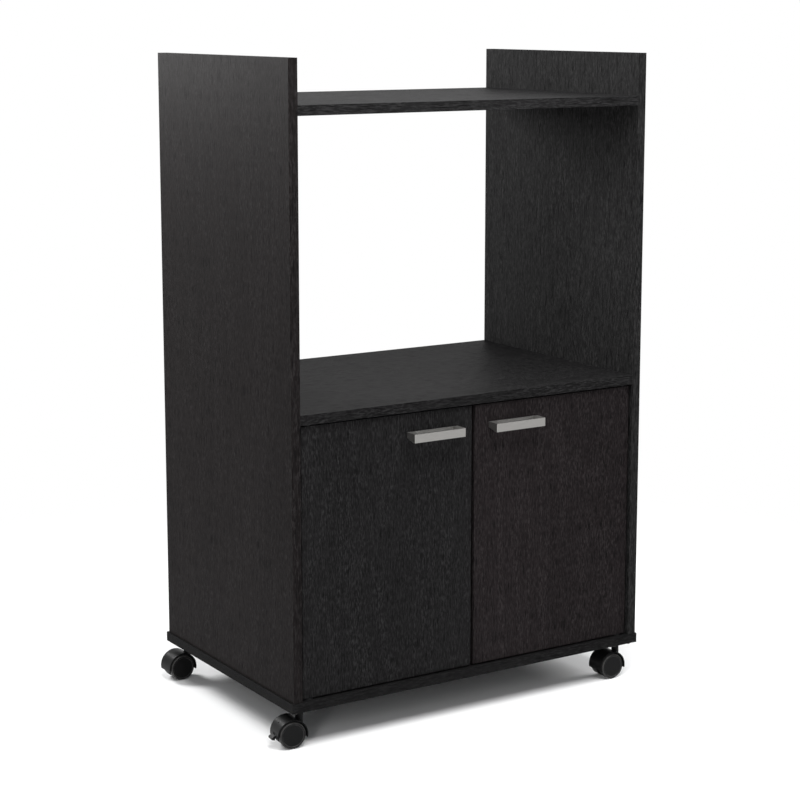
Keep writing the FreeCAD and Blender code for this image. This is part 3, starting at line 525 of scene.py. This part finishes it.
def add_recessed_body(mesh, profile, outline, depth, taper):
    """A round body along Z through the (radius, level) pairs of profile, with a recess of that
    outline sunk into its flat end."""
    rings = [add_loop(mesh, circle(radius, ROUND_STEPS), level) for radius, level in profile]
    for lower, upper in zip(rings, rings[1:]):
        bridge(mesh, lower, upper)
    top = profile[-1][1]
    mouth = add_loop(mesh, outline, top)
    floor = add_loop(mesh, [(taper * x, taper * y) for x, y in outline], top - depth)
    bridge(mesh, mouth, floor)
    mesh.faces.new(rings[0])
    mesh.faces.new(floor)
    rims = [
        mesh.edges.get((loop[index - 1], loop[index]))
        for loop in (rings[-1], mouth)
        for index in range(len(loop))
    ]
    bmesh.ops.triangle_fill(mesh, use_beauty=True, edges=rims)


def shank_profile(radius, end):
    return [(TIP_RADIUS * radius, 0), (radius, TIP_LENGTH * radius), (radius, end)]


def add_pan_screw(mesh, screw):
    """A domed head with a cross recess."""
    under = screw.length - screw.height
    flat = PAN_FLAT * screw.head
    profile = shank_profile(screw.shank, under) + [(screw.head, under)]
    for step in range(DOME_STEPS + 1):
        turn = math.pi / 2 * step / DOME_STEPS
        radius = flat + (screw.head - flat) * math.cos(turn)
        rise = PAN_RIM + (1 - PAN_RIM) * math.sin(turn)
        profile.append((radius, under + screw.height * rise))
    outline = cross(PAN_CROSS_REACH * screw.head, PAN_CROSS_HALF * screw.head)
    add_recessed_body(mesh, profile, outline, PAN_CROSS_DEPTH * screw.height, CROSS_TAPER)


def add_flush_screw(mesh, screw):
    """A headless end that lies flush with its plate, with a cross recess."""
    profile = shank_profile(screw.shank, screw.length)
    outline = cross(FLUSH_CROSS_REACH * screw.shank, FLUSH_CROSS_HALF * screw.shank)
    add_recessed_body(mesh, profile, outline, FLUSH_CROSS_DEPTH * screw.shank, CROSS_TAPER)


def add_socket_screw(mesh, screw):
    """A flat head with a hexagon socket."""
    under = screw.length - screw.height
    edge = SOCKET_EDGE * screw.head
    profile = shank_profile(screw.shank, under) + [
        (screw.head, under), (screw.head, screw.length - edge), (screw.head - edge, screw.length),
    ]
    outline = circle(SOCKET_REACH * screw.head, SOCKET_SIDES)
    add_recessed_body(mesh, profile, outline, SOCKET_DEPTH * screw.height, SOCKET_TAPER)


# The screws whose heads show: the way a head faces, and what adds one
SCREWS = {
    "left_handle_screws": (REARWARDS, add_pan_screw),
    "right_handle_screws": (REARWARDS, add_pan_screw),
    "catch_screws": (DOWN, add_pan_screw),
    "caster_screws": (DOWN, add_pan_screw),
    "left_strike_screw": (REARWARDS, add_flush_screw),
    "right_strike_screw": (REARWARDS, add_flush_screw),
    "base_screws": (DOWN, add_socket_screw),
}


def add_screws(name, facing, add_one, material):
    """Screws with their recesses, in the places and sizes of a CAD node's own. Each is turned
    further in than the one before it."""
    mesh = bmesh.new()
    upright = UP.rotation_difference(facing).to_matrix()
    for index, corners in enumerate(solid_corners(frame["nodes"][name])):
        tip, screw = measured_screw(corners, facing)
        first = len(mesh.verts)
        add_one(mesh, screw)
        mesh.verts.ensure_lookup_table()
        turned = upright @ Matrix.Rotation(SCREW_TURN * index, 3, "Z")
        placed = Matrix.Translation(tip) @ turned.to_4x4()
        bmesh.ops.transform(mesh, matrix=placed, verts=mesh.verts[first:])
    bmesh.ops.recalc_face_normals(mesh, faces=mesh.faces)
    data = bpy.data.meshes.new(f"{name}_with_recess")
    mesh.to_mesh(data)
    mesh.free()
    data.shade_smooth()
    data.set_sharp_from_angle(angle=math.radians(SHARP_DEGREES))
    data.materials.append(material)
    piece = add_object(data.name, data)
    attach(piece, next(body for body, nodes in BODIES.items() if name in nodes))
    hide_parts(name)


def add_camera():
    lens = bpy.data.cameras.new("camera")
    lens.sensor_width = SENSOR
    lens.lens = FOCAL_PIXELS * SENSOR / FRAME_PIXELS
    lens.shift_y = CAMERA_SHIFT
    lens.clip_start = CAMERA_NEAR
    lens.clip_end = CAMERA_FAR
    camera = add_object("camera", lens)
    camera.location = CAMERA_PLACE
    camera.rotation_euler = Euler((math.pi / 2 - CAMERA_PITCH, 0, -CAMERA_YAW))
    bpy.context.scene.camera = camera


def add_world():
    world = bpy.data.worlds.new("studio")
    bpy.context.scene.world = world
    n = Nodes(world)
    fill = n.add("ShaderNodeBackground", Color=FILL_COLOUR, Strength=FILL_STRENGTH)
    white = n.add("ShaderNodeBackground", Color=WHITE, Strength=WHITE_STRENGTH)
    backgrounds = (fill.outputs["Background"], white.outputs["Background"])
    n.add("ShaderNodeOutputWorld", Surface=n.mix_shaders(n.white_rays(), *backgrounds))


def add_floor():
    """Pale paper, which shows the object's shadow and is plain white further off."""
    mesh = bpy.data.meshes.new("floor")
    square = ((-1, -1), (1, -1), (1, 1), (-1, 1))
    corners = [(FLOOR_REACH * x, FLOOR_REACH * y, FLOOR_LEVEL) for x, y in square]
    mesh.from_pydata(corners, [], [range(len(corners))])
    floor = add_object("floor", mesh)
    n = Material("floor_paper")
    mesh.materials.append(n.finish(
        Base_Color=FLOOR_COLOUR, Roughness=FLOOR_ROUGHNESS, Specular_IOR_Level=FLOOR_SPECULAR,
    ))
    glow = n.add("ShaderNodeEmission", Color=WHITE, Strength=WHITE_STRENGTH)
    distance = n.add("ShaderNodeVectorMath")
    distance.operation = "LENGTH"
    n.feed(distance.inputs[0], n.coordinates.outputs["Object"])
    far = n.add(
        "ShaderNodeMapRange", Value=distance.outputs["Value"],
        From_Min=FLOOR_FADE_START, From_Max=FLOOR_FADE_END,
    )
    far.interpolation_type = "SMOOTHSTEP"
    share = n.times(far.outputs["Result"], n.white_rays())
    faded = n.mix_shaders(share, n.shader.outputs["BSDF"], glow.outputs["Emission"])
    n.feed(n.output.inputs["Surface"], faded)


def add_lights():
    for lamp in LAMPS:
        light = bpy.data.lights.new(lamp.name, "AREA")
        light.shape = "RECTANGLE"
        light.size = lamp.width
        light.size_y = lamp.height
        light.energy = lamp.watts
        holder = add_object(lamp.name, light)
        holder.visible_camera = False
        holder.location = lamp.place
        aim = Vector(lamp.target) - Vector(lamp.place)
        holder.rotation_euler = aim.to_track_quat("-Z", "Y").to_euler()


def dress_nodes(materials):
    """Gives every CAD node its procedural material. The two wheels of a caster share one, whose
    bevel is found by the axle's direction."""
    wheels = {
        joint["name"].removesuffix(AXLE_ENDING): nylon_with_painted_rim_highlight(f"{joint['name']}_nylon", joint["axis"])
        for joint in frame["joints"]
        if joint["name"].endswith(AXLE_ENDING)
    }
    for index, (name, piece) in enumerate(sorted(frame["nodes"].items())):
        if SLOTS[name] == "wheel_nylon":
            made = wheels[name.partition("_caster")[0]]
        elif SLOTS[name] == "black_laminate":
            axis = Z_AXIS if name in UPRIGHT_BOARDS else X_AXIS
            seat = tuple(step * index for step in PATTERN_STEP)
            made = laminate(f"{name}_laminate", axis, seat, *TONES.get(name, TONES["boards"]))
        else:
            made = materials[SLOTS[name]]
        piece.data.materials.clear()
        piece.data.materials.append(made)


bpy.context.scene.view_settings.view_transform = "Standard"
add_camera()
add_world()
add_floor()
add_lights()
materials = {slot: make(slot, **settings) for slot, (make, settings) in COMMON_SLOTS.items()}
dress_nodes(materials)
for name, (facing, add_one) in SCREWS.items():
    add_screws(name, facing, add_one, materials[SLOTS[name]])
